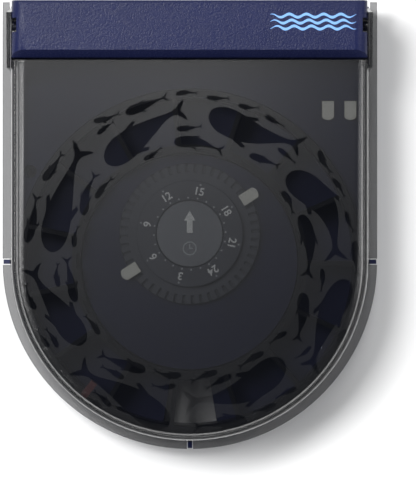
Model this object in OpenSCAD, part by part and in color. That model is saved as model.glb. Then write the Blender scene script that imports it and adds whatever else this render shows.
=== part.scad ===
// Automatic fish feeder: a ring of food compartments turns over an exit hole under a smoked, hinged lid.
// A battery clock turns the timer dial once a day.
// Each tab on the dial moves the ring on by one compartment.
// Millimetres, +Z up, +Y towards the rear bar.
// The origin is under the middle of the feeder, on the resting surface.

/* [Body] */
// Width over the lid's rim
body_w = 145; // [144:1:147]
// Length from the front of the rim to the back of the rear bar
body_l = 173; // [172:1:175]
// Height of the rear bar
body_h = 48; // [48:1:50]
// Wall thickness of the mouldings
wall = 2; // [1.8:0.1:2.2]

/* [Food ring] */
// Number of food compartments
cells = 15; // [12:1:15]
// Turn of the ring's first divider from +X
ring_turn = -0.5; // [-1:0.1:0]
// Width of the exit hole, as an angle about the ring's centre
exit_angle = 19; // [16:1:20]

/* [Timer] */
// Distance from the ring's centre back to the dial's centre
dial_offset = 10.8; // [10.5:0.1:10.9]
// Radius of the dial's slotted flange
dial_r = 27; // [26.8:0.1:27.2]
// Number of tab slots round the dial
tab_slots = 48; // [24:24:48]
// Clockwise turn of the 15 hour mark from the back of the feeder
dial_turn = 12.6; // [0:0.1:15]

/* [Hidden] */

$fn = 96;
eps = 0.01;
far = 200;

navy = [0.10, 0.11, 0.24];
black = [0.06, 0.06, 0.07];
smoke = [0.25, 0.26, 0.28, 0.5];
white = [0.86, 0.88, 0.86];
steel = [0.72, 0.73, 0.75];
brass = [0.80, 0.65, 0.35];

// Plan, measured from the food ring's centre, which lies at ring_y in the row frame.
rim_r = body_w / 2;
ring_y = rim_r - body_l / 2;
arm_over = 1.4;
back_y = body_l - rim_r - arm_over;
base_r = rim_r - 3;

// Levels above the resting surface.
foot_h = 1.5;
cover_t = 2.5;
cover_top = foot_h + cover_t;
floor_top = 16;
floor_t = 2.5;
floor_under = floor_top - floor_t;
pedestal_top = 29.5;
deck_top = 30;
lid_top = body_h - 3;

// Lid.
lid_gap = 0.3;
lid_z = floor_top + lid_gap;
rim_w = rim_r - base_r;
rim_t = 2;
lid_r = rim_r - rim_w;
lid_fillet = 5;
lid_wall = 1.5;
lid_draft = 1.8;
slot_w = 2.4;
lug_w = 1.7;
lug_gap = 0.3;
arm_t = 1.7;

// Rear bar and the hinge that the lid turns on.
bar_depth = 21.5;
bar_y = back_y - bar_depth;
bar_half = lid_r - arm_t - 0.3;
bar_z = 33;
bar_bevel = [2.7, 4.5];
bar_round = 5;
hinge_y = back_y - 9.3;
hinge_z = body_h - 8;
hinge_r = 2.6;
hinge_gap = 0.1;
slot_depth = 2;
lid_rear_gap = 0.8;
lid_rear = bar_y - lid_rear_gap;
housing_half = bar_half - 0.6;

// Food ring and the pedestal that it turns on.
pedestal_r = 41.2;
ring_in = 41.7;
ring_in_t = 3.2;
ring_out = 65.9;
ring_out_t = 3.1;
ring_z = floor_top + 0.3;
ring_top = 36.3;
divider_t = 1.8;
divider_drop = 0.5;
divider_lift = 0.2;
cell_pitch = 360 / cells;
notch = [1.6, 5.4, 4.5];

// Exit hole and its chute.
exit_in = 46;
exit_out = 63.4;
chute_t = 1.5;

// Corner decks behind the ring.
deck_half = 66.2;
deck_front = 14;
deck_back = 68;
deck_gap = 0.7;
deck_rim = [1.5, 2.5];
fixing = [-61.2, 34.7];
fixing_r = 2.5;
fixing_t = 1.5;
tab_nest = 0.8;

// Timer tabs.
tab_l = 7.2;
tab_w = 4.5;
tab_t = 2.2;
tab_tip_r = 30.6;
stem = [2.6, 0.9, 1.4];
spare_tabs = [[53, 58], [61.6, 58]];

// Dial.
dial = [0, dial_offset];
dial_z = 30;
dial_top = 32.6;
face_r = 20.3;
face_top = 35.4;
disc_r = 12.5;
disc_z = 33.6;
disc_top = 35.6;
tube_r = 3.2;
post_r = 1.5;

// Gears: the dial's wheel, the reduction wheel and pinion, and the motor's pinion.
gear_module = 0.5;
dial_teeth = 60;
small_teeth = 10;
large_teeth = 48;
motor_teeth = 12;
reduction_dir = -40;
motor_dir = -130;
axle_r = 0.75;
reduction = dial + polar(gear_module * (dial_teeth + small_teeth) / 2, reduction_dir);
motor = reduction + polar(gear_module * (large_teeth + motor_teeth) / 2, motor_dir);
dial_gear_z = [22, 23.8];
large_gear_z = [19, 20.4];
gearbox_z = [16.8, 18.3];
gearbox_r = 34.5;
gearbox_posts = [[-22, -4], [20, 24], [24, -18]];

// Battery bay, with an AA cell lying across the rear housing.
cell_r = 7.25;
cell_l = 50.5;
cell_x = 2.6;
cell_y = back_y - bar_depth / 2;
cell_z = 12.8;
bay_half = 31;
bay_z = [4.2, 21.8];
door_gap = 0.3;

// Fasteners.
screw_r = 1.45;
screw_head = [2.8, 1.5];
boss_r = 3.2;
cover_screw_at = [[-48, -36], [48, -36], [-55, 8], [55, 8], [-40, 74], [40, 74]];
bar_screw_x = 50;
shelf_z = 26;
foot_r = 5;
foot_at = [[-40, -44], [40, -44], [-60, 90], [60, 90]];

// Routes of the two battery wires, from their contacts to the circuit board.
wire_r = 0.6;
red_route = [
    [30.2, cell_y - 7.75, 7.5], [30, cell_y - 12.75, 7.5], [28, 62, 7.5], [14, 46, 8], [0, 30, 8], [-8, 20, 8], [-8, 13, 9.3]
];
black_route = [
    [-30.4, cell_y - 7.75, 7.5], [-30, cell_y - 12.75, 7.5], [-28, 62, 7.5], [-22, 44, 8], [-18, 28, 8], [-16, 20, 8],
    [-16, 13, 9.3]
];

function polar(r, a) = [r * cos(a), r * sin(a)];

// Turn of a gear of z2 teeth so that it meshes with one of z1 teeth turned by a1, seen in direction dir.
function meshed(z1, a1, z2, dir) = dir + 180 - (180 - z1 * (dir - a1)) / z2;

reduction_turn = meshed(dial_teeth, 0, small_teeth, reduction_dir);
motor_turn = meshed(large_teeth, 0, motor_teeth, motor_dir);

// ---------- shapes ----------

module at_ring() translate([0, ring_y, 0]) children();

module at_dial() at_ring() translate(dial) children();

// A plan with a half round front and straight sides back to y.
module dee(r, y) {
    intersection() {
        circle(r, $fn = 180);
        translate([-r, -r]) square([2 * r, r]);
    }
    translate([-r, 0]) square([2 * r, y]);
}

module dee_slab(r, y, z0, z1) translate([0, 0, z0]) linear_extrude(z1 - z0) dee(r, y);

// A box between two corners, given as [from, to] along each axis.
module box(x, y, z) translate([x[0], y[0], z[0]]) cube([x[1] - x[0], y[1] - y[0], z[1] - z[0]]);

module rod(r, z0, z1) translate([0, 0, z0]) cylinder(r = r, h = z1 - z0);

module ring(r_in, r_out, z0, z1) difference() {
    rod(r_out, z0, z1);
    rod(r_in, z0 - 1, z1 + 1);
}

// A wedge of a ring, from angle a0 to a1.
module wedge(r_in, r_out, a0, a1, z0, z1) translate([0, 0, z0]) linear_extrude(z1 - z0)
intersection() {
    difference() {
        circle(r_out);
        circle(r_in);
    }
    polygon([[0, 0], polar(far, a0), polar(far, a1)]);
}

module mirrored() {
    children();
    mirror([1, 0, 0]) children();
}

// ---------- base ----------

module exit_wedge(grow, z0, z1) {
    side = exit_angle / 2 + grow / exit_in * 180 / PI;
    wedge(exit_in - grow, exit_out + grow, 270 - side, 270 + side, z0, z1);
}

module deck_plan(inset) difference() {
    translate([-deck_half + inset, deck_front + inset])
        square([2 * (deck_half - inset), deck_back - deck_front - 2 * inset]);
    circle(ring_out + deck_gap + inset);
}

module corner_decks() {
    translate([0, 0, floor_top - 1]) linear_extrude(deck_top - floor_top + 1) deck_plan(0);
    mirrored() box([deck_half - deck_rim[0], deck_half], [deck_front + 4, deck_back],
        [deck_top, deck_top + deck_rim[1]]);
}

module deck_hollow() translate([0, 0, foot_h - 1])
    linear_extrude(deck_top - wall - foot_h + 1) deck_plan(wall);

module rear_housing() {
    lip = wall + 0.2;
    box([-housing_half, housing_half], [bar_y, back_y], [floor_under, bar_z]);
    box([-bar_half + lip, bar_half - lip], [bar_y + lip, back_y - lip], [bar_z - 1, bar_z + 4]);
}

module housing_hollow() {
    lip = wall + 1.4;
    box([-housing_half + wall, housing_half - wall], [bar_y + wall, back_y - wall], [0, shelf_z]);
    box([-bar_half + lip, bar_half - lip], [bar_y + lip, back_y - lip], [shelf_z - 1, bar_z + 5]);
}

module bay_partitions() mirrored()
    box([bay_half + 0.3, bay_half + wall], [bar_y + 1, back_y - 1], [cover_top + 0.3, bay_z[1] + 2]);

module bar_screw_shelf() mirrored()
    box([bar_screw_x - 5, bar_screw_x + 5], [bar_y + 1, back_y - 1], [shelf_z, shelf_z + wall]);

// Room in the base for the feet of the lid's arms as they turn.
module arm_relief() mirrored()
    box([bar_half - 0.2, base_r + 1], [hinge_y - 8, back_y + 1], [floor_top - 1.8, floor_top + 1]);

// Lugs that stand up through the slots in the lid's rim and keep the lid from moving sideways.
module lid_lugs() for (a = [180, 270, 360]) rotate(a) {
    box([base_r - 1, rim_r - lug_gap], [-lug_w / 2, lug_w / 2], [floor_top - 2.5, floor_top]);
    box([lid_r + lug_gap, rim_r - lug_gap], [-lug_w / 2, lug_w / 2], [floor_top - 1, lid_z + rim_t - 0.2]);
}

module spare_tab_nests() for (p = spare_tabs)
translate([p[0], p[1] + tab_l / 2, deck_top - tab_nest]) rotate(-90) {
    translate([-0.3, -tab_w / 2 - 0.3, 0]) cube([tab_l + 0.6, tab_w + 0.6, 2]);
    translate([0.3, -stem[1] / 2 - 0.1, -3]) cube([stem[0] + 0.3, stem[1] + 0.2, 4]);
}

module base_tray() color(navy) at_ring() difference() {
    union() {
        difference() {
            union() {
                difference() {
                    dee_slab(base_r, back_y, foot_h, floor_top);
                    dee_slab(base_r - wall, back_y - wall, foot_h - 1, floor_under);
                }
                rod(pedestal_r, floor_under, pedestal_top);
                corner_decks();
                rear_housing();
                exit_wedge(chute_t, foot_h, floor_top - 1);
            }
            rod(pedestal_r - wall, 0, pedestal_top - 2.5);
            deck_hollow();
            housing_hollow();
        }
        bay_partitions();
        bar_screw_shelf();
        lid_lugs();
        translate(fixing) rod(fixing_r + fixing_t, foot_h, deck_top - 1);
        for (p = cover_screw_at) translate(p) rod(boss_r, cover_top, floor_under + 1);
        for (p = gearbox_posts) translate(p) rod(boss_r, gearbox_z[1], pedestal_top - 1);
        translate(reduction) rod(boss_r - 1, dial_gear_z[1] + 2.4, pedestal_top - 1);
    }
    exit_wedge(0, 0, floor_top + 1);
    translate(fixing) rod(fixing_r, 0, deck_top + 1);
    translate(dial) rod(tube_r + 0.3, pedestal_top - 4, pedestal_top + 1);
    translate(reduction) rod(axle_r + 0.05, dial_gear_z[1], pedestal_top - 2);
    for (p = cover_screw_at) translate(p) rod(screw_r + 0.05, 0, floor_under - 1);
    for (p = gearbox_posts) translate(p) rod(screw_r + 0.05, gearbox_z[0], pedestal_top - 4);
    mirrored() translate([bar_screw_x, cell_y]) rod(screw_r + 0.3, shelf_z - 1, shelf_z + wall + 1);
    box([-bay_half, bay_half], [back_y - wall - 1, back_y + 1], bay_z);
    spare_tab_nests();
    arm_relief();
}

// ---------- rear bar ----------

module bar_section(inset) {
    b = bar_bevel;
    polygon([
        [bar_y + inset, bar_z - inset],
        [back_y - inset, bar_z - inset],
        [back_y - inset, body_h - 1 - inset],
        [back_y - 1 - inset, body_h - inset],
        [bar_y + b[0] + inset * 0.6, body_h - inset],
        [bar_y + inset, body_h - b[1] - inset * 0.4]
    ]);
}

module bar_front_outline() {
    r = bar_round;
    translate([-bar_half, bar_z]) square([2 * bar_half, body_h - bar_z - r]);
    translate([-bar_half + r, body_h - r - 1]) square([2 * (bar_half - r), r + 1]);
    for (s = [-1, 1]) translate([s * (bar_half - r), body_h - r]) circle(r);
}

// Turns a section drawn in Y and Z into a solid along X.
module along_x(x0, x1) translate([x0, 0, 0]) rotate([90, 0, 90]) linear_extrude(x1 - x0) children();

module hinge_slot(grow) {
    translate([bar_half - slot_depth, hinge_y, hinge_z]) rotate([0, 90, 0])
        cylinder(r = hinge_r + hinge_gap, h = slot_depth + grow);
    box([bar_half - slot_depth, bar_half + grow],
        [hinge_y - hinge_r - hinge_gap, hinge_y + hinge_r + hinge_gap], [hinge_z, body_h + 1]);
}

module rear_bar() color(navy) at_ring() difference() {
    union() {
        difference() {
            intersection() {
                along_x(-bar_half, bar_half) bar_section(0);
                translate([0, back_y + 1, 0]) rotate([90, 0, 0])
                    linear_extrude(bar_depth + 2) bar_front_outline();
            }
            along_x(-bar_half + wall, bar_half - wall) bar_section(wall);
        }
        mirrored() box([bar_half - slot_depth - wall, bar_half - slot_depth + eps],
            [hinge_y - 4.5, hinge_y + 4.5], [hinge_z - 2.8, body_h - wall + 0.5]);
        mirrored() translate([bar_screw_x, cell_y]) rod(boss_r, shelf_z + wall + 0.2, body_h - wall + 0.5);
    }
    mirrored() hinge_slot(1);
    mirrored() translate([bar_screw_x, cell_y]) rod(screw_r + 0.05, shelf_z, body_h - 8);
}

// ---------- fasteners and feet ----------

// A cross-head self-tapping screw that points up, with its head's lower face at z 0.
module screw(length) {
    difference() {
        rod(screw_head[0], 0, screw_head[1]);
        for (a = [0, 90]) rotate(a) translate([-1.6, -0.35, -1]) cube([3.2, 0.7, 1.9]);
    }
    rod(screw_r, screw_head[1], length - 1);
    translate([0, 0, length - 1]) cylinder(r1 = screw_r, r2 = 0.5, h = 1);
}

module cover_screws() color(steel) at_ring()
    for (p = cover_screw_at) translate([p[0], p[1], foot_h]) screw(9.5);

module bar_screws() color(steel) at_ring()
    mirrored() translate([bar_screw_x, cell_y, shelf_z - screw_head[1]]) screw(12);

module gearbox_screws() color(steel) at_ring()
    for (p = gearbox_posts) translate([p[0], p[1], gearbox_z[0] - screw_head[1]]) screw(8);

module rubber_feet() color(black) at_ring() for (p = foot_at) translate(p) {
    rod(foot_r, 0.5, foot_h + 0.5);
    cylinder(r1 = foot_r - 0.5, r2 = foot_r, h = 0.5);
}

// ---------- bottom cover and battery bay ----------

module bottom_cover() color(navy) at_ring() difference() {
    union() {
        dee_slab(base_r - wall - 0.3, back_y - wall - 0.3, foot_h, cover_top);
        mirrored() translate([0, cell_y, cover_top - 1]) box([14, 16], [-7.5, 7.5], [0, 6]);
    }
    translate([0, cell_y, cell_z]) rotate([0, 90, 0])
        cylinder(r = cell_r + 0.15, h = far, center = true);
    exit_wedge(chute_t + 0.3, 0, cover_top + 1);
    translate(fixing) rod(fixing_r + fixing_t + 0.3, 0, cover_top + 1);
    for (p = cover_screw_at) translate(p) {
        rod(screw_head[0] + 0.3, 0, foot_h + screw_head[1]);
        rod(screw_r + 0.2, 0, cover_top + 1);
    }
    for (p = foot_at) translate(p) rod(foot_r + 0.1, 0, foot_h + 0.5);
}

module battery_door() color(navy) at_ring() difference() {
    union() {
        box([-bay_half + door_gap, bay_half - door_gap], [back_y - wall, back_y],
            [bay_z[0] + door_gap, bay_z[1] - door_gap]);
        mirrored() box([18, 26], [back_y - wall - 1.2, back_y - wall + 0.5],
            [bay_z[0] + 0.8, bay_z[0] + 2.3]);
    }
    for (i = [-2:2]) box([-9, 9], [back_y - 0.6, back_y + 1], [13 + i * 1.8 - 0.4, 13 + i * 1.8 + 0.4]);
}

module battery_cell() color([0.35, 0.38, 0.42]) at_ring()
translate([cell_x, cell_y, cell_z]) rotate([0, 90, 0]) {
    rod(cell_r, -cell_l / 2, cell_l / 2 - 1.4);
    rod(cell_r - 1.2, cell_l / 2 - 1.4, cell_l / 2 - 1);
    rod(2.7, cell_l / 2 - 1, cell_l / 2);
}

module contact_plate() color(steel) at_ring() {
    box([bay_half - 0.5, bay_half], [cell_y - 5.5, cell_y + 5.5], [6.5, bay_z[1] - 2]);
    box([bay_half - 0.5, bay_half], [cell_y - 7.2, cell_y - 5.4], [6.5, 8.8]);
    translate([cell_x + cell_l / 2 + 0.05, cell_y, cell_z]) rotate([0, 90, 0])
        cylinder(r1 = 2.2, r2 = 3.6, h = bay_half - 0.5 - cell_x - cell_l / 2);
}

module contact_spring() color(steel) at_ring() {
    x0 = -bay_half + 0.5;
    x1 = cell_x - cell_l / 2 - 0.35;
    box([-bay_half, x0], [cell_y - 5.5, cell_y + 5.5], [6.5, bay_z[1] - 2]);
    box([-bay_half, x0], [cell_y - 7.2, cell_y - 5.4], [6.5, 8.8]);
    turns = 4;
    steps = turns * 16;
    tube([for (i = [0:steps]) let (u = i / steps, a = 360 * turns * u, r = 4.6 - 1.8 * u)
        [x0 - 0.1 + (x1 - x0) * u, cell_y + r * cos(a), cell_z + r * sin(a)]], 0.3, [1, 0, 0], 6);
}

// ---------- wires ----------

function unit(v) = v / norm(v);
function heading(p, i) = unit(p[min(i + 1, len(p) - 1)] - p[max(i - 1, 0)]);
function hoop(c, t, r, ref, n) =
    let (s = unit(cross(t, ref)), u = cross(t, s))
    [for (k = [0:n - 1]) c + r * cos(360 * k / n) * s + r * sin(360 * k / n) * u];

// Points on a smooth curve through p, n to each stretch.
function spline_point(a, b, c, d, t) = 0.5 * (
    2 * b + (c - a) * t + (2 * a - 5 * b + 4 * c - d) * t * t + (3 * b - a - 3 * c + d) * t * t * t
);
function smooth(p, n) = [
    for (i = [0:len(p) - 2], k = [0:n - 1])
        spline_point(p[max(i - 1, 0)], p[i], p[i + 1], p[min(i + 2, len(p) - 1)], k / n),
    p[len(p) - 1]
];

module tube(path, r, ref, n) {
    m = len(path);
    polyhedron(
        points = [for (i = [0:m - 1]) each hoop(path[i], heading(path, i), r, ref, n)],
        faces = [
            [for (k = [0:n - 1]) k],
            for (i = [0:m - 2], k = [0:n - 1])
                [i * n + k, (i + 1) * n + k, (i + 1) * n + (k + 1) % n, i * n + (k + 1) % n],
            [for (k = [n - 1:-1:0]) (m - 1) * n + k]
        ]
    );
}

module wire_red() color([0.7, 0.05, 0.05]) at_ring() tube(smooth(red_route, 4), wire_r, [0, 0, 1], 8);

module wire_black() color(black) at_ring() tube(smooth(black_route, 4), wire_r, [0, 0, 1], 8);

// ---------- clock ----------

board_at = [-16, 6];
board = [26, 18, 1.6];
board_z = 10;

module on_board(x, y, z) at_ring()
    translate([board_at[0] + x, board_at[1] + y, board_z + board[2] + z]) children();

module circuit_board() color([0.05, 0.30, 0.15])
    on_board(-board[0] / 2, -board[1] / 2, -board[2]) cube(board);

module quartz_crystal() color(steel) on_board(-6, -5, 1.55) rotate([0, 90, 0]) cylinder(r = 1.5, h = 8);

module timer_chip() color(black) {
    on_board(-7.4, 0.5, 0) cube([8, 6, 1.8]);
    for (i = [0:3], y = [-0.4, 6.5]) on_board(-6.8 + i * 1.9, y, 0) cube([0.8, 0.9, 0.8]);
}

module gearbox_plate() color(black) at_ring() {
    difference() {
        union() {
            rod(gearbox_r, gearbox_z[0], gearbox_z[1]);
            for (s = [-1, 1]) translate(board_at + [s * 10, s * -6.5])
                rod(1.8, board_z + board[2], gearbox_z[0] + 1);
        }
        translate(dial) rod(post_r + 0.02, 0, far);
        translate(reduction) rod(axle_r + 0.05, 0, far);
        translate(motor) rod(2, 0, far);
        for (p = gearbox_posts) translate(p) rod(screw_r + 0.2, 0, far);
    }
}

module centre_post() color(steel) at_dial() rod(post_r, gearbox_z[0], disc_top - 0.6);

module reduction_axle() color(steel) at_ring() translate(reduction)
    rod(axle_r, gearbox_z[0], pedestal_top - 2.2);

module clock_motor() color(steel) at_ring() translate(motor) {
    rod(10, 7.5, gearbox_z[0] - 0.1);
    for (s = [-1, 1]) translate([s * 11.4, 0, gearbox_z[0] - 1.1]) difference() {
        rod(2.6, 0, 1);
        rod(1.1, -1, 2);
    }
}

function involute(rb, a) = [rb * (cos(a) + a * PI / 180 * sin(a)), rb * (sin(a) - a * PI / 180 * cos(a))];
function turned(p, a) = [p[0] * cos(a) - p[1] * sin(a), p[0] * sin(a) + p[1] * cos(a)];

// Spur gear outline with a tooth on +X. Its teeth are thinned for running play.
module gear_outline(teeth) {
    rp = gear_module * teeth / 2;
    rb = rp * cos(20);
    ra = rp + 0.85 * gear_module;
    rf = rp - 1.2 * gear_module;
    roll = function (r) sqrt(max(0, pow(r / rb, 2) - 1)) * 180 / PI;
    angle_at = function (r) let (p = involute(rb, roll(r))) atan2(p[1], p[0]);
    half = 90 / teeth - 0.09 / rp * 180 / PI;
    r0 = max(rb, rf);
    steps = 4;
    flank = [for (i = [0:steps]) let (r = r0 + (ra - r0) * i / steps)
        [r, half + angle_at(rp) - angle_at(r)]];
    polygon([for (k = [0:teeth - 1]) each concat(
        [polar(rf, k * 360 / teeth - flank[0][1] - 0.1 * 90 / teeth)],
        [for (f = flank) polar(f[0], k * 360 / teeth - f[1])],
        [for (i = [steps:-1:0]) polar(flank[i][0], k * 360 / teeth + flank[i][1])],
        [polar(rf, k * 360 / teeth + flank[0][1] + 0.1 * 90 / teeth)]
    )]);
}

module gear(teeth, z0, z1, turn) translate([0, 0, z0]) rotate(turn)
    linear_extrude(z1 - z0) gear_outline(teeth);

module motor_pinion() color(brass) at_ring() translate(motor) {
    gear(motor_teeth, large_gear_z[0] - 0.2, large_gear_z[1] + 0.4, motor_turn);
    rod(0.8, gearbox_z[0], large_gear_z[0] + 0.5);
}

module reduction_gear() color(white) at_ring() translate(reduction) difference() {
    union() {
        gear(large_teeth, large_gear_z[0], large_gear_z[1], 0);
        rod(1.8, gearbox_z[1] + 0.1, large_gear_z[0] + 0.5);
        gear(small_teeth, large_gear_z[1] - 0.2, dial_gear_z[1] + 0.4, reduction_turn);
    }
    rod(axle_r + 0.05, 0, far);
}

module dial_gear() color(white) at_dial() difference() {
    union() {
        gear(dial_teeth, dial_gear_z[0], dial_gear_z[1], 0);
        rod(5, dial_gear_z[0] - 1, dial_gear_z[1] + 1);
        rod(tube_r, gearbox_z[1] + 0.1, dial_top - 0.4);
    }
    rod(post_r + 0.06, 0, far);
    for (a = [0:60:359]) rotate(a) translate([10, 0]) rod(2.2, 0, far);
}

// Tooth slots, face ring and hub of the dial that shows the hours.
module timer_dial() color(navy) at_dial() rotate(90 - dial_turn) difference() {
    union() {
        rod(dial_r, dial_z, dial_top);
        rod(face_r, dial_top - 1, face_top);
    }
    rod(disc_r + 0.4, dial_top, far);
    rod(tube_r + 0.02, 0, far);
    for (i = [0:tab_slots - 1]) rotate(i * 360 / tab_slots)
        translate([tab_tip_r - tab_l + 0.3, -stem[1] / 2 - 0.1, dial_top - stem[2] - 0.2])
            cube([stem[0] + 0.3, stem[1] + 0.2, 4]);
}

module arrow_disc() color(navy) at_dial() difference() {
    union() {
        rod(disc_r, disc_z, disc_top);
        rod(post_r + 1.5, dial_top + 0.3, disc_z + 0.5);
    }
    rod(post_r + 0.02, 0, disc_top - 0.6);
}

// ---------- timer tabs ----------

// A tab that lies along +X, with its flat end at the origin and its round end outwards.
module tab() {
    linear_extrude(tab_t) intersection() {
        translate([0, -tab_w / 2]) square([tab_l, tab_w]);
        union() {
            translate([tab_l - 2.7, 0]) circle(2.7);
            translate([0, -tab_w / 2]) square([tab_l - 2.2, tab_w]);
        }
    }
    translate([0.4, -stem[1] / 2, -stem[2]]) cube([stem[0], stem[1], stem[2] + 0.5]);
}

module dial_tab(hour) color(white) at_dial() rotate(90 - dial_turn - (hour - 15) * 15)
    translate([tab_tip_r - tab_l, 0, dial_top + 0.05]) tab();

module spare_tab(i) color(white) at_ring()
    translate([spare_tabs[i][0], spare_tabs[i][1] + tab_l / 2, deck_top - tab_nest + 0.05])
        rotate(-90) tab();

// ---------- food ring ----------

module food_ring() color(black) at_ring() difference() {
    union() {
        ring(ring_in, ring_in + ring_in_t, ring_z, ring_top);
        ring(ring_out - ring_out_t, ring_out, ring_z, ring_top);
        for (k = [0:cells - 1]) rotate(k * cell_pitch + ring_turn)
            box([ring_in + ring_in_t - 1, ring_out - ring_out_t + 1], [-divider_t / 2, divider_t / 2],
                [ring_z + divider_lift, ring_top - divider_drop]);
    }
    for (k = [0:cells - 1]) rotate((k + 0.5) * cell_pitch + ring_turn)
        box([ring_in - 0.5, ring_in + notch[0]], [-notch[1] / 2, notch[1] / 2], [ring_top - notch[2], far]);
}

marker_angle = 9.65 * 24;
marker_w = 2.8;

// A red fin in the compartment that stays empty, clipped over the ring's outer wall.
module start_marker() color([0.75, 0.08, 0.08]) at_ring() rotate(marker_angle) {
    wall_in = ring_out - ring_out_t;
    box([wall_in - 4.2, wall_in - 0.1], [-marker_w / 2, marker_w / 2], [28, ring_top]);
    box([wall_in - 4.2, ring_out - 0.2], [-marker_w / 2, marker_w / 2],
        [ring_top + 0.05, ring_top + 0.75]);
    box([wall_in - 4.2, wall_in - 0.1], [-marker_w / 2, marker_w / 2], [ring_top - 1, ring_top + 0.5]);
}

// ---------- lid ----------

// Half of a block's section: its side leans in above lid_z, and its upper corner is rounded.
module rounded_half(r, top, fillet, z0) {
    polygon([[0, z0], [r, z0], [r, lid_z], [r - lid_draft, top - fillet], [0, top - fillet]]);
    translate([0, lid_z]) square([r - lid_draft - fillet, top - lid_z]);
    translate([r - lid_draft - fillet, top - fillet]) circle(fillet);
}

// Half of the lid's section: rim, wall, filleted corner and top.
module lid_section() difference() {
    union() {
        rounded_half(lid_r, lid_top, lid_fillet, lid_z);
        translate([lid_r - lid_wall, lid_z]) square([rim_w + lid_wall, rim_t]);
    }
    rounded_half(lid_r - lid_wall, lid_top - lid_wall, lid_fillet - lid_wall, lid_z - 1);
}

module lid_shell() {
    rotate(180) rotate_extrude(angle = 180, $fn = 180) lid_section();
    translate([0, lid_rear, 0]) rotate([90, 0, 0]) linear_extrude(lid_rear) union() {
        lid_section();
        mirror([1, 0]) lid_section();
    }
}

// The arm beside the rear bar, with its foot in line with the rim and the pin that turns in the bar's slot.
module lid_arm() {
    along_x(lid_r - arm_t, lid_r) polygon([
        [lid_rear - 3, lid_z], [back_y - 1, lid_z], [back_y - 1, lid_z + rim_t],
        [back_y - 4, hinge_z + 1], [hinge_y + 5, hinge_z + 4], [lid_rear - 3, hinge_z + 1]
    ]);
    box([lid_r - arm_t, rim_r], [lid_rear - 3, back_y - 1], [lid_z, lid_z + rim_t]);
    box([lid_r + 0.3, rim_r], [back_y - 2, back_y + arm_over], [lid_z, lid_z + rim_t]);
    translate([bar_half - slot_depth + 0.2, hinge_y, hinge_z]) rotate([0, 90, 0])
        cylinder(r = hinge_r, h = lid_r - arm_t / 2 - bar_half + slot_depth - 0.2);
}

module lid() color(smoke) at_ring() difference() {
    union() {
        lid_shell();
        mirrored() lid_arm();
    }
    for (a = [180, 270, 360]) rotate(a)
        translate([lid_r, -slot_w / 2, lid_z - 1]) cube([rim_w + 1, slot_w, rim_t + 2]);
}

// ---------- one node at a time ----------

base_tray();
rear_bar();
bar_screws();
bottom_cover();
cover_screws();
rubber_feet();
battery_door();
battery_cell();
contact_plate();
contact_spring();
wire_red();
wire_black();
circuit_board();
quartz_crystal();
timer_chip();
clock_motor();
motor_pinion();
reduction_gear();
reduction_axle();
gearbox_plate();
gearbox_screws();
centre_post();
dial_gear();
timer_dial();
arrow_disc();
dial_tab(18);  // tab_evening
dial_tab(6);  // tab_morning
spare_tab(0);  // spare_tab_inner
spare_tab(1);  // spare_tab_outer
food_ring();
start_marker();
lid();
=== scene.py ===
"""Looks of the automatic fish feeder: materials, printed marks, the lid's matt skin, light and camera."""
import math
import random

import bmesh
import bpy
from mathutils import Matrix, Vector


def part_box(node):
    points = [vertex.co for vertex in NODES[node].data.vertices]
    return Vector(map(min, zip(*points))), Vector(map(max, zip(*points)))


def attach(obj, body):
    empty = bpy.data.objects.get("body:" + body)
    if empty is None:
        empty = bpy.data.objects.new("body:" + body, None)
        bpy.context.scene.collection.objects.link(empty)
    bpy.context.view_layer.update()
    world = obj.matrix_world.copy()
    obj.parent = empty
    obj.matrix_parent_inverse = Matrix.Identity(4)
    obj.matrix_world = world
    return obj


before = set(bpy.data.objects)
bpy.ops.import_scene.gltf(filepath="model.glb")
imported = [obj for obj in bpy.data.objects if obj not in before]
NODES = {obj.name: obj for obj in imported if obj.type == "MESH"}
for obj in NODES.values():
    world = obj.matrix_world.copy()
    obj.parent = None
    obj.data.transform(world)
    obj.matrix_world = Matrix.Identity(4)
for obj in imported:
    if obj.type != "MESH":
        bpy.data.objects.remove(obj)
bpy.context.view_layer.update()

MM = 0.001

# Places in the row frame, in metres, as the part's source has them.
RING = Vector((0.0, -0.0140, 0.0))
DIAL = Vector((0.0, -0.0032, 0.0))
FACE_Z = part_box("timer_dial")[1].z
DISC_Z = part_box("arrow_disc")[1].z
BAR_LOW, BAR_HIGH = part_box("rear_bar")
LID_TOP = 0.045
LID_FILLET = 0.005
LID_RIM = 0.0185  # height of the rim's upper face
LID_FLAT_R = 0.0627  # where the flat top ends and the rounded edge starts
LID_REAR = 0.0626
PRINT_T = 0.04 * MM

# The timer dial's marks, from the dial's centre.
DIAL_HOURS = 24
HOURS_PER_FIGURE = 3
ARROW_HOUR = 15
ARROW_TURN = 12.6  # degrees clockwise from the arrow to the figure for ARROW_HOUR
FIGURE_SIZE = 4.1 * MM
FIGURE_R = 16.4 * MM
HOUR_DOT = (13.75 * MM, 0.36 * MM)
OUTER_DOT = (19.1 * MM, 0.4 * MM)

# The bar's ripple sign.
RIPPLE_X = (30.5 * MM, 63 * MM)
RIPPLE_FROM_FRONT = 13.3 * MM
RIPPLE_PITCH = 2.25 * MM
RIPPLE_SWING = 0.62 * MM
RIPPLE_HALF = 0.52 * MM
RIPPLE_WAVES = 5
RIPPLE_SUNK = 0.03 * MM

# The lid's matt skin and the fish left clear in it.
SKIN_R = 0.0664
SKIN_T = 0.03 * MM
SCHOOL_IN = 41.5 * MM
FISH_GAP = 0.5 * MM
SPINE_STEPS = 30


# ---------- node helpers ----------

def new_material(name):
    m = bpy.data.materials.new(name)
    m.use_nodes = True
    return m, m.node_tree, m.node_tree.nodes["Principled BSDF"]


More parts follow.
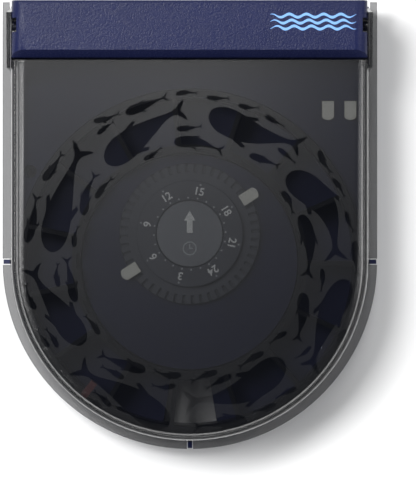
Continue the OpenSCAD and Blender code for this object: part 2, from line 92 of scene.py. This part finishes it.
def node(tree, kind, inputs=None, **attrs):
    n = tree.nodes.new(kind)
    for k, v in attrs.items():
        setattr(n, k, v)
    for k, v in (inputs or {}).items():
        n.inputs[k].default_value = v
    return n


def coords(tree, scale=(1, 1, 1)):
    """The point in the row frame, in metres, stretched by scale."""
    c = node(tree, "ShaderNodeTexCoord")
    m = node(tree, "ShaderNodeMapping", {"Scale": scale})
    tree.links.new(c.outputs["Object"], m.inputs["Vector"])
    return m.outputs["Vector"]


def noise(tree, scale, detail=3.0, rough=0.5, stretch=(1, 1, 1)):
    n = node(tree, "ShaderNodeTexNoise", {"Scale": scale, "Detail": detail, "Roughness": rough})
    tree.links.new(coords(tree, stretch), n.inputs["Vector"])
    return n.outputs["Fac"]


def ramp(tree, fac, stops):
    """A colour or grey ramp. stops are (place, grey or colour)."""
    r = node(tree, "ShaderNodeValToRGB")
    e = r.color_ramp.elements
    while len(e) < len(stops):
        e.new(0.5)
    for el, (p, c) in zip(e, stops):
        el.position = p
        el.color = (c, c, c, 1) if isinstance(c, (int, float)) else (*c, 1)
    tree.links.new(fac, r.inputs["Fac"])
    return r.outputs["Color"]


def bump(tree, height, strength, distance, below=None):
    b = node(tree, "ShaderNodeBump", {"Strength": strength, "Distance": distance})
    tree.links.new(height, b.inputs["Height"])
    if below:
        tree.links.new(below, b.inputs["Normal"])
    return b.outputs["Normal"]


def shade(c, k):
    return tuple(min(1.0, x * k) for x in c)


# ---------- materials ----------

def moulded(name, colour, rough=(0.38, 0.52), grain=0.25, size=2600, depth=0.05, mottle=0.12, spec=0.5,
             speckle=False):
    """Injection-moulded plastic: fine spark grain, slow drifts of colour and gloss, faint rub marks."""
    m, t, p = new_material(name)
    drift = noise(t, 55, 4, 0.6)
    t.links.new(ramp(t, drift, [(0.3, shade(colour, 1 - mottle)), (0.7, shade(colour, 1 + mottle))]),
                p.inputs["Base Color"])
    rub = noise(t, size, 2, 0.6) if speckle else noise(t, 120, 5, 0.65)
    t.links.new(ramp(t, rub, [(0.35, rough[0]), (0.7, rough[1])]), p.inputs["Roughness"])
    fine = bump(t, noise(t, size, 2, 0.55), grain, depth * MM)
    t.links.new(bump(t, noise(t, 130, 3), 0.12, 0.2 * MM, fine), p.inputs["Normal"])
    p.inputs["Specular IOR Level"].default_value = spec
    return m


def metal(name, colour, rough=(0.22, 0.4), stretch=(1, 1, 9), scale=900):
    """Plated or turned metal with fine tool lines."""
    m, t, p = new_material(name)
    p.inputs["Metallic"].default_value = 1.0
    drift = noise(t, 160, 4, 0.6)
    t.links.new(ramp(t, drift, [(0.3, shade(colour, 0.82)), (0.75, colour)]), p.inputs["Base Color"])
    lines = noise(t, scale, 3, 0.6, stretch)
    t.links.new(ramp(t, lines, [(0.3, rough[0]), (0.7, rough[1])]), p.inputs["Roughness"])
    t.links.new(bump(t, lines, 0.2, 0.03 * MM), p.inputs["Normal"])
    return m


LEAST_STRAIGHT = 0.12  # keeps the way through finite where the light grazes a face
RIM_WAY = 1.2  # how much longer the way through the rim is than through the wall
EDGE_INDEX = 1.3  # refractive index of the polished rounded edge


def stopped(t, solid):
    """Share of light that one face stops. The way through is longer at a slant and in the thick rim."""
    weight = node(t, "ShaderNodeLayerWeight", {"Blend": 0.5})
    straight = node(t, "ShaderNodeMath", {0: 1.0}, operation="SUBTRACT")
    t.links.new(weight.outputs["Facing"], straight.inputs[1])
    least = node(t, "ShaderNodeMath", {1: LEAST_STRAIGHT}, operation="MAXIMUM")
    t.links.new(straight.outputs[0], least.inputs[0])
    level = node(t, "ShaderNodeSeparateXYZ")
    t.links.new(coords(t), level.inputs[0])
    rim = node(t, "ShaderNodeMapRange",
               {"From Min": LID_RIM + 0.4 * MM, "From Max": LID_RIM, "To Min": 1.0, "To Max": RIM_WAY})
    t.links.new(level.outputs["Z"], rim.inputs["Value"])
    way = node(t, "ShaderNodeMath", operation="DIVIDE")
    t.links.new(rim.outputs[0], way.inputs[0])
    t.links.new(least.outputs[0], way.inputs[1])
    passed = node(t, "ShaderNodeMath", {0: 1.0 - solid}, operation="POWER")
    t.links.new(way.outputs[0], passed.inputs[1])
    share = node(t, "ShaderNodeMath", {0: 1.0}, operation="SUBTRACT")
    t.links.new(passed.outputs[0], share.inputs[1])
    return share.outputs[0]


def polished_edges(t, index):
    """Share of light reflected: little on the matt flat top, more on the polished rounded edge."""
    flat = node(t, "ShaderNodeFresnel", {"IOR": index})
    edge = node(t, "ShaderNodeFresnel", {"IOR": EDGE_INDEX})
    way = node(t, "ShaderNodeSeparateXYZ")
    t.links.new(node(t, "ShaderNodeTexCoord").outputs["Normal"], way.inputs[0])
    up = node(t, "ShaderNodeMath", operation="ABSOLUTE")
    t.links.new(way.outputs["Z"], up.inputs[0])
    leaning = node(t, "ShaderNodeMapRange", {"From Min": 0.999, "From Max": 0.985})
    t.links.new(up.outputs[0], leaning.inputs["Value"])
    share = node(t, "ShaderNodeMix")
    t.links.new(leaning.outputs[0], share.inputs["Factor"])
    t.links.new(flat.outputs[0], share.inputs["A"])
    t.links.new(edge.outputs[0], share.inputs["B"])
    return share.outputs[0]


def smoked(name, tint, solid, rough, gloss, grain=0.0, index=1.33):
    """See-through smoked plastic. solid is the share of light one face stops, and gloss its roughness."""
    m, t, p = new_material(name)
    out = t.nodes["Material Output"]
    drift = noise(t, 40, 3)
    t.links.new(ramp(t, drift, [(0.3, shade(tint, 0.92)), (0.7, shade(tint, 1.08))]),
                p.inputs["Base Color"])
    scuff = noise(t, 320, 5, 0.7, (1, 0.3, 1))
    t.links.new(ramp(t, scuff, [(0.3, rough * 0.85), (0.75, rough * 1.15)]), p.inputs["Roughness"])
    if grain:
        t.links.new(bump(t, noise(t, 3200, 2), grain, 0.03 * MM), p.inputs["Normal"])
    p.inputs["Specular IOR Level"].default_value = 0.0
    clear = node(t, "ShaderNodeBsdfTransparent")
    body = node(t, "ShaderNodeMixShader")
    t.links.new(stopped(t, solid), body.inputs["Fac"])
    t.links.new(clear.outputs[0], body.inputs[1])
    t.links.new(p.outputs[0], body.inputs[2])
    shine = node(t, "ShaderNodeBsdfGlossy", {"Roughness": gloss})
    top = node(t, "ShaderNodeMixShader")
    t.links.new(polished_edges(t, index), top.inputs[0])
    t.links.new(body.outputs[0], top.inputs[1])
    t.links.new(shine.outputs[0], top.inputs[2])
    t.links.new(top.outputs[0], out.inputs["Surface"])
    return m


def paint(name, colour, rough=0.5):
    """Pad-printed ink, slightly uneven."""
    m, t, p = new_material(name)
    spots = noise(t, 1800, 4, 0.7)
    t.links.new(ramp(t, spots, [(0.25, shade(colour, 0.86)), (0.6, colour)]), p.inputs["Base Color"])
    t.links.new(ramp(t, spots, [(0.3, rough * 0.9), (0.7, rough * 1.1)]), p.inputs["Roughness"])
    return m


def board_green(name):
    """Solder mask over copper tracks."""
    m, t, p = new_material(name)
    w = node(t, "ShaderNodeTexWave", {"Scale": 260.0, "Distortion": 6.0, "Detail": 1.0},
             bands_direction="DIAGONAL")
    t.links.new(coords(t), w.inputs["Vector"])
    t.links.new(ramp(t, w.outputs["Fac"], [(0.45, (0.012, 0.11, 0.045)), (0.55, (0.03, 0.2, 0.085))]),
                p.inputs["Base Color"])
    p.inputs["Roughness"].default_value = 0.3
    t.links.new(bump(t, w.outputs["Fac"], 0.3, 0.05 * MM), p.inputs["Normal"])
    return m


def cell_sleeve(name):
    """The cell's printed sleeve, dark with a copper-coloured band, and bare metal at the positive end."""
    m, t, p = new_material(name)
    sep = node(t, "ShaderNodeSeparateXYZ")
    t.links.new(coords(t), sep.inputs[0])
    lo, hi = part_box("battery_cell")
    rng = node(t, "ShaderNodeMapRange", {"From Min": lo.x, "From Max": hi.x})
    t.links.new(sep.outputs["X"], rng.inputs["Value"])
    bands = ramp(t, rng.outputs[0], [(0.0, 0.55), (0.03, (0.03, 0.035, 0.05)), (0.74, (0.5, 0.22, 0.09)),
                                     (0.965, 0.6)])
    t.nodes[-1].color_ramp.interpolation = "CONSTANT"
    t.links.new(bands, p.inputs["Base Color"])
    p.inputs["Metallic"].default_value = 0.35
    t.links.new(ramp(t, noise(t, 300, 3), [(0.3, 0.25), (0.7, 0.4)]), p.inputs["Roughness"])
    return m


NAVY = (0.012, 0.0155, 0.055)
NAVY_DARK = (0.008, 0.011, 0.050)
INK_WHITE = (0.86, 0.89, 0.90)

MATS = {
    "navy": moulded("navy_moulding", NAVY, (0.20, 0.32), 1.0, 1700, 0.17, 0.06, 0.11, speckle=True),
    "navy_inner": moulded("navy_base", NAVY_DARK, (0.34, 0.5), 0.25, spec=0.2),
    "ring": moulded("black_gloss", (0.007, 0.0075, 0.010), (0.26, 0.36), 0.06, mottle=0.2, spec=0.15),
    "dial": moulded("dial_grey", (0.075, 0.082, 0.103), (0.4, 0.55), 0.3, spec=0.2),
    "disc": moulded("disc_grey", (0.20, 0.215, 0.245), (0.35, 0.5), 0.2, spec=0.3),
    "tab": moulded("tab_white", (0.74, 0.75, 0.70), (0.38, 0.5), 0.15, mottle=0.04),
    "gear": moulded("gear_white", (0.70, 0.71, 0.66), (0.35, 0.5), 0.1, mottle=0.04),
    "red": moulded("marker_red", (0.10, 0.010, 0.014), (0.25, 0.4), 0.1),
    "black": moulded("black_satin", (0.022, 0.022, 0.025), (0.4, 0.55), 0.2),
    "rubber": moulded("foot_rubber", (0.025, 0.025, 0.026), (0.75, 0.9), 0.4, 1600),
    "red_sheath": moulded("red_sheath", (0.40, 0.02, 0.02), (0.4, 0.5), 0.1),
    "black_sheath": moulded("black_sheath", (0.02, 0.02, 0.02), (0.4, 0.5), 0.1),
    "steel": metal("plated_steel", (0.62, 0.63, 0.65)),
    "nickel": metal("bright_nickel", (0.72, 0.71, 0.67), (0.12, 0.25)),
    "brass": metal("cut_brass", (0.78, 0.6, 0.28)),
    "board": board_green("solder_mask"),
    "cell": cell_sleeve("cell_sleeve"),
    "lid": smoked("lid_smoke", (0.004, 0.0045, 0.006), 0.38, 0.3, 0.27, index=1.05),
    "skin": smoked("lid_matt_skin", (0.02, 0.021, 0.024), 0.06, 0.55, 0.24, 0.5, index=1.22),
    "white_ink": paint("white_ink", INK_WHITE),
    "dim_ink": paint("dim_ink", (0.42, 0.45, 0.48)),
    "blue_ink": paint("blue_ink", (0.16, 0.36, 0.74)),
}

NODE_MATS = {
    "navy": ["rear_bar", "battery_door"],
    "navy_inner": ["base_tray", "bottom_cover"],
    "ring": ["food_ring"],
    "dial": ["timer_dial"],
    "disc": ["arrow_disc"],
    "tab": ["tab_evening", "tab_morning", "spare_tab_inner", "spare_tab_outer"],
    "gear": ["reduction_gear", "dial_gear"],
    "red": ["start_marker"],
    "black": ["gearbox_plate", "timer_chip"],
    "rubber": ["rubber_feet"],
    "red_sheath": ["wire_red"],
    "black_sheath": ["wire_black"],
    "steel": ["bar_screws", "cover_screws", "gearbox_screws", "clock_motor", "reduction_axle",
              "centre_post"],
    "nickel": ["contact_plate", "contact_spring", "quartz_crystal"],
    "brass": ["motor_pinion"],
    "board": ["circuit_board"],
    "cell": ["battery_cell"],
    "lid": ["lid"],
}

BEVELS = {
    "rear_bar": 0.35, "battery_door": 0.3, "base_tray": 0.3, "bottom_cover": 0.3, "food_ring": 0.3,
    "timer_dial": 0.2, "arrow_disc": 0.25, "tab_evening": 0.3, "tab_morning": 0.3, "spare_tab_inner": 0.3,
    "spare_tab_outer": 0.3, "start_marker": 0.2, "lid": 0.25,
}


def dress_cad():
    """Gives each CAD node its material, and moulded edges a small radius."""
    for key, names in NODE_MATS.items():
        for name in names:
            o = NODES[name]
            o.data.materials.clear()
            o.data.materials.append(MATS[key])
    for name, width in BEVELS.items():
        o = NODES[name]
        weld = o.modifiers.new("weld", "WELD")
        weld.merge_threshold = 0.002 * MM
        bev = o.modifiers.new("edge", "BEVEL")
        bev.width = width * MM
        bev.segments = 2
        bev.limit_method = "ANGLE"
        bev.angle_limit = math.radians(40)
        bev.use_clamp_overlap = True
        bev.harden_normals = True


# ---------- flat marks ----------

def outline_piece(name, loops, z, thick, mat, body):
    """A thin closed plate between z and z + thick. loops are outlines in X and Y; inner ones are holes."""
    cu = bpy.data.curves.new(name, "CURVE")
    cu.dimensions = "2D"
    cu.fill_mode = "BOTH"
    cu.extrude = thick / 2
    for pts in loops:
        s = cu.splines.new("POLY")
        s.points.add(len(pts) - 1)
        for q, (x, y) in zip(s.points, pts):
            q.co = (x, y, 0, 1)
        s.use_cyclic_u = True
    return to_mesh_piece(name, cu, Matrix.Translation((0, 0, z + thick / 2)), mat, body)


def to_mesh_piece(name, curve, place, mat, body):
    tmp = bpy.data.objects.new(name + "_tmp", curve)
    bpy.context.scene.collection.objects.link(tmp)
    dg = bpy.context.evaluated_depsgraph_get()
    me = bpy.data.meshes.new_from_object(tmp.evaluated_get(dg))
    bpy.data.objects.remove(tmp)
    me.name = name
    me.transform(place)
    bm = bmesh.new()
    bm.from_mesh(me)
    bmesh.ops.remove_doubles(bm, verts=bm.verts, dist=1e-7)
    bmesh.ops.recalc_face_normals(bm, faces=bm.faces)
    bm.to_mesh(me)
    bm.free()
    o = bpy.data.objects.new(name, me)
    bpy.context.scene.collection.objects.link(o)
    me.materials.clear()
    me.materials.append(mat)
    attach(o, body)
    return o


def join_pieces(name, pieces, body):
    """One piece made of several flat ones."""
    bm = bmesh.new()
    for p in pieces:
        bm.from_mesh(p.data)
    me = bpy.data.meshes.new(name)
    bm.to_mesh(me)
    bm.free()
    me.materials.append(pieces[0].data.materials[0])
    for p in pieces:
        bpy.data.objects.remove(p)
    o = bpy.data.objects.new(name, me)
    bpy.context.scene.collection.objects.link(o)
    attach(o, body)
    return o


def around(centre, r, a):
    """The point at distance r from centre, in direction a."""
    return centre[0] + r * math.cos(a), centre[1] + r * math.sin(a)


def disc_loop(centre, r, n=20):
    return [around(centre, r, 2 * math.pi * i / n) for i in range(n)]


def hour_angle(hour):
    return math.radians(90 - ARROW_TURN - (hour - ARROW_HOUR) * 360 / DIAL_HOURS)


def dial_print():
    """Hour figures, a dot for each hour and a small outer dot at each figure."""
    figures = []
    for hour in range(HOURS_PER_FIGURE, DIAL_HOURS + 1, HOURS_PER_FIGURE):
        a = hour_angle(hour)
        cu = bpy.data.curves.new(f"figure_{hour}", "FONT")
        cu.body = str(hour)
        cu.size = FIGURE_SIZE
        cu.offset = 0.09 * MM
        cu.extrude = PRINT_T / 2
        cu.align_x = "CENTER"
        cu.align_y = "CENTER"
        cu.space_character = 0.98
        place = (Matrix.Translation((*around(DIAL, FIGURE_R, a), FACE_Z + PRINT_T / 2))
                 @ Matrix.Rotation(a - math.pi / 2, 4, "Z"))
        figures.append(to_mesh_piece(f"figure_{hour}", cu, place, MATS["white_ink"], "dial"))
    join_pieces("dial_figures", figures, "dial")
    dots = []
    for hour in range(1, DIAL_HOURS + 1):
        for out, r in (HOUR_DOT, OUTER_DOT) if hour % HOURS_PER_FIGURE == 0 else (HOUR_DOT,):
            dots.append(disc_loop(around(DIAL, out, hour_angle(hour)), r, 12))
    outline_piece("dial_dots", dots, FACE_Z, PRINT_T, MATS["dim_ink"], "dial")


def disc_print():
    """The arrow, and a clock face below it that stands for setting the hour."""
    x, y = DIAL.x, DIAL.y
    arrow = [(-1.1, 0.3), (1.1, 0.3), (1.1, 5.0), (2.2, 5.0), (0, 8.8), (-2.2, 5.0), (-1.1, 5.0)]
    outline_piece("arrow_print", [[(x + a * MM, y + b * MM) for a, b in arrow]], DISC_Z, PRINT_T,
                  MATS["white_ink"], "housing")
    c = (x, y - 5.6 * MM)
    rim = [disc_loop(c, 2.7 * MM, 40), disc_loop(c, 2.2 * MM, 40)]
    outline_piece("clock_sign_rim", rim, DISC_Z, PRINT_T, MATS["dim_ink"], "housing")
    hands = [(-0.25, -0.25), (1.25, -0.25), (1.25, 0.25), (0.25, 0.25), (0.25, 1.6), (-0.25, 1.6)]
    outline_piece("clock_sign_hands", [[(c[0] + a * MM, c[1] + b * MM) for a, b in hands]], DISC_Z, PRINT_T,
                  MATS["dim_ink"], "housing")


def bar_badge():
    """Three rows of ripples, a plain water sign, at the right end of the bar."""
    loops = []
    x0, x1 = RIPPLE_X
    n = 80
    for row in (-1, 0, 1):
        top, low = [], []
        yc = BAR_LOW.y + RIPPLE_FROM_FRONT + row * RIPPLE_PITCH
        for i in range(n + 1):
            u = i / n
            x = x0 + (x1 - x0) * u
            y = yc + RIPPLE_SWING * math.sin(u * 2 * math.pi * RIPPLE_WAVES + row * 0.9)
            half = RIPPLE_HALF * min(1, 6 * min(u, 1 - u) + 0.12)
            top.append((x, y + half))
            low.append((x, y - half))
        loops.append(top + low[::-1])
    outline_piece("ripple_sign", loops, BAR_HIGH.z - RIPPLE_SUNK, PRINT_T, MATS["blue_ink"], "housing")


# ---------- the lid's matt skin ----------

def fish_spine(length, bend, sway, n=SPINE_STEPS):
    """Points and headings from nose to tail of a fish that swims along +X over the origin."""
    pts = [(0.0, 0.0, 0.0)]
    step = length / n
    for i in range(n):
        u = (i + 0.5) / n
        x, y, h = pts[-1]
        h -= (bend + sway * math.cos(2 * math.pi * u)) / n
        pts.append((x - step * math.cos(h), y - step * math.sin(h), h))
    mx, my, mh = pts[n // 2]
    c, s = math.cos(-mh), math.sin(-mh)
    return [((x - mx) * c - (y - my) * s, (x - mx) * s + (y - my) * c, h - mh) for x, y, h in pts]


def body_width(u, fat):
    """Half the body's width at u of its length from the nose, as a share of its length."""
    return fat * max(0.09, 1.58 * math.sqrt(u) * max(0.0, 1 - u / 0.95) ** 1.5)


def reach_at(u, fat):
    """How far a fish, with its fins, reaches to each side at u of its length."""
    if u > 0.88:
        return 0.035 + (u - 0.88) * 0.75
    return body_width(u, fat) + (0.035 if 0.3 < u < 0.5 else 0.004)


def fish_outline(length, fat, bend, sway):
    """A plain fish seen from above: a full head, two swept side fins and a forked tail."""
    spine = fish_spine(length, bend, sway)
    n = len(spine) - 1

    def at(u, v):
        f = min(max(u, 0.0), 1.0) * n
        i = min(int(f), n - 1)
        (x0, y0, h0), (x1, y1, h1) = spine[i], spine[i + 1]
        w = f - i
        x, y, h = x0 + (x1 - x0) * w, y0 + (y1 - y0) * w, h0 + (h1 - h0) * w
        return x - math.sin(h) * v * length, y + math.cos(h) * v * length

    def side(sign, fin_at, fin):
        us = [0.004, 0.018, 0.045, 0.085, 0.13, 0.18, 0.24, fin_at]
        out = [(u, body_width(u, fat)) for u in us]
        back = fin_at + 0.075
        out += [(back + 0.045, body_width(fin_at, fat) + fin * 0.8),
                (back + 0.075, body_width(back, fat) + fin * 0.55),
                (back + 0.02, body_width(back + 0.02, fat))]
        out += [(u, body_width(u, fat)) for u in (0.48, 0.55, 0.62, 0.69, 0.76, 0.82, 0.86)]
        out += [(0.90, 0.035), (0.95, 0.075), (1.0, 0.115), (0.99, 0.07), (0.965, 0.03)]
        return [at(u, sign * v) for u, v in out]

    return [at(0, 0)] + side(1, 0.31, 0.05) + [at(0.945, 0)] + side(-1, 0.35, 0.035)[::-1]


# Big, middling and small fish: how many at most, shortest and longest in mm, fatness, nearest and farthest
# from the food ring's centre in mm, and tries at placing each.
BIG_FISH = (8, 35, 43, 0.27, 51, 57, 80)
MIDDLING_FISH = (26, 17, 27, 0.235, 45, 62, 260)
SMALL_FISH = (110, 8, 13.5, 0.23, 43, 64.5, 110)


def fish_school():
    """Outlines of a school that swims anticlockwise in a band round the food ring's centre."""
    rnd = random.Random(5)
    taken, loops = [], []
    for kind in (BIG_FISH, MIDDLING_FISH, SMALL_FISH):
        count, short, long_, fat, r_in, r_out, tries = kind
        for i in range(count):
            for _ in range(tries):
                length = rnd.uniform(short, long_) * MM
                f = fat * rnd.uniform(0.88, 1.08)
                r = rnd.uniform(r_in, r_out) * MM
                if kind is BIG_FISH:
                    a = (i + rnd.uniform(-0.1, 0.1)) * math.pi / 4 + 0.3
                else:
                    a = rnd.uniform(0, 2 * math.pi)
                tilt = rnd.uniform(-0.35, 0.35)
                bend = length / r * rnd.uniform(0.3, 1.3)
                sway = rnd.choice((-1, 1)) * rnd.uniform(0.3, 1.4)
                turn = a + math.pi / 2 + tilt
                c, s = math.cos(turn), math.sin(turn)
                x0, y0 = r * math.cos(a), r * math.sin(a)
                spine = fish_spine(length, bend, sway)
                circles = [(x0 + x * c - y * s, y0 + x * s + y * c, length * reach_at(k / SPINE_STEPS, f))
                           for k, (x, y, _h) in enumerate(spine) if k % 2 == 0]
                inside = all(SCHOOL_IN < math.hypot(x, y) - q and math.hypot(x, y) + q < SKIN_R - FISH_GAP
                             for x, y, q in circles)
                apart = all(math.hypot(x - u, y - v) > q + w + FISH_GAP
                            for x, y, q in circles for u, v, w in taken)
                if inside and apart:
                    taken += circles
                    loops.append([(RING.x + x0 + x * c - y * s, RING.y + y0 + x * s + y * c)
                                  for x, y in fish_outline(length, f, bend, sway)])
                    break
    return loops


def over_the_fillet(o):
    """Bends the flat skin down over the lid's rounded edge, where its outer band lies."""
    def reach(co):
        return abs(co.x) if co.y > RING.y else math.hypot(co.x, co.y - RING.y)

    bm = bmesh.new()
    bm.from_mesh(o.data)
    for _ in range(9):
        long_ones = [e for e in bm.edges if max(reach(v.co) for v in e.verts) > LID_FLAT_R - 1 * MM
                     and e.calc_length() > 1.2 * MM]
        if not long_ones:
            break
        bmesh.ops.subdivide_edges(bm, edges=long_ones, cuts=1)
        bmesh.ops.triangulate(bm, faces=bm.faces[:])
    for v in bm.verts:
        d = reach(v.co) - LID_FLAT_R
        if d > 0:
            a = math.asin(min(0.999, d / LID_FILLET))
            straight = v.co.y > RING.y
            out = Vector((math.copysign(1, v.co.x), 0)) if straight else (v.co - RING).xy.normalized()
            h = v.co.z - LID_TOP
            shift = out * (h * math.sin(a))
            v.co.x += shift.x
            v.co.y += shift.y
            v.co.z = LID_TOP - LID_FILLET * (1 - math.cos(a)) + h * math.cos(a)
    bm.to_mesh(o.data)
    bm.free()


def lid_skin():
    """The lid's fine matt texture, a film that leaves the fish clear."""
    r, n = SKIN_R, 120
    edge = [around(RING, r, math.pi + math.pi * i / n) for i in range(n + 1)]
    edge += [(r, LID_REAR), (-r, LID_REAR)]
    skin = outline_piece("lid_matt_skin", [edge] + fish_school(), LID_TOP + 0.01 * MM, SKIN_T,
                         MATS["skin"], "lid")
    over_the_fillet(skin)


# ---------- room ----------

def floor():
    bm = bmesh.new()
    bmesh.ops.create_grid(bm, x_segments=1, y_segments=1, size=3)
    me = bpy.data.meshes.new("floor")
    bm.to_mesh(me)
    bm.free()
    o = bpy.data.objects.new("floor", me)
    bpy.context.scene.collection.objects.link(o)
    m, t, p = new_material("pale_floor")
    t.links.new(ramp(t, noise(t, 3, 2), [(0.3, 0.80), (0.7, 0.83)]), p.inputs["Base Color"])
    p.inputs["Roughness"].default_value = 0.9
    p.inputs["Specular IOR Level"].default_value = 0.1
    me.materials.append(m)


def area_light(name, place, target, width, height, power):
    """A soft lamp at place that faces target, width wide and height high, in metres."""
    d = bpy.data.lights.new(name, "AREA")
    d.shape = "RECTANGLE"
    d.size = width
    d.size_y = height
    d.energy = power
    o = bpy.data.objects.new(name, d)
    o.location = place
    o.rotation_mode = "QUATERNION"
    o.rotation_quaternion = (Vector(target) - Vector(place)).to_track_quat("-Z", "Y")
    bpy.context.scene.collection.objects.link(o)
    return o


def lights():
    w = bpy.data.worlds.new("studio")
    w.use_nodes = True
    w.node_tree.nodes["Background"].inputs["Color"].default_value = (0.95, 0.97, 1.0, 1)
    w.node_tree.nodes["Background"].inputs["Strength"].default_value = 0.17
    bpy.context.scene.world = w
    area_light("key", (-0.40, 0.30, 1.20), (0, 0, 0.02), 0.34, 0.34, 14)
    area_light("sheen", (-0.005, 0.150, 1.25), (0, 0, 0), 0.10, 0.10, 0.65)
    area_light("back", (0.10, 0.60, 1.10), (0, 0, 0), 0.30, 0.30, 2.5)
    area_light("left", (-0.85, 0.12, 1.05), (0, 0, 0), 0.7, 0.35, 8)
    area_light("right", (1.1, 0.2, 0.9), (0, 0, 0), 0.8, 0.8, 7)


CAMERA_OVER = Vector((0.0070, -0.00675, 0.0173))
CAMERA_AWAY = 1.2
VIEW_HEIGHT = 0.1884
SENSOR = 36


def camera():
    """Looks straight down at the feeder, and sees VIEW_HEIGHT metres from top to bottom."""
    cam = bpy.data.cameras.new("camera")
    o = bpy.data.objects.new("camera", cam)
    bpy.context.scene.collection.objects.link(o)
    o.location = CAMERA_OVER + Vector((0, 0, CAMERA_AWAY))
    cam.sensor_width = SENSOR
    cam.lens = SENSOR * CAMERA_AWAY / VIEW_HEIGHT
    cam.clip_start, cam.clip_end = 0.01, 20
    bpy.context.scene.camera = o


def main():
    dress_cad()
    dial_print()
    disc_print()
    bar_badge()
    lid_skin()
    floor()
    lights()
    camera()
    bpy.context.scene.view_settings.view_transform = "Standard"


main()
bpy.context.view_layer.update()
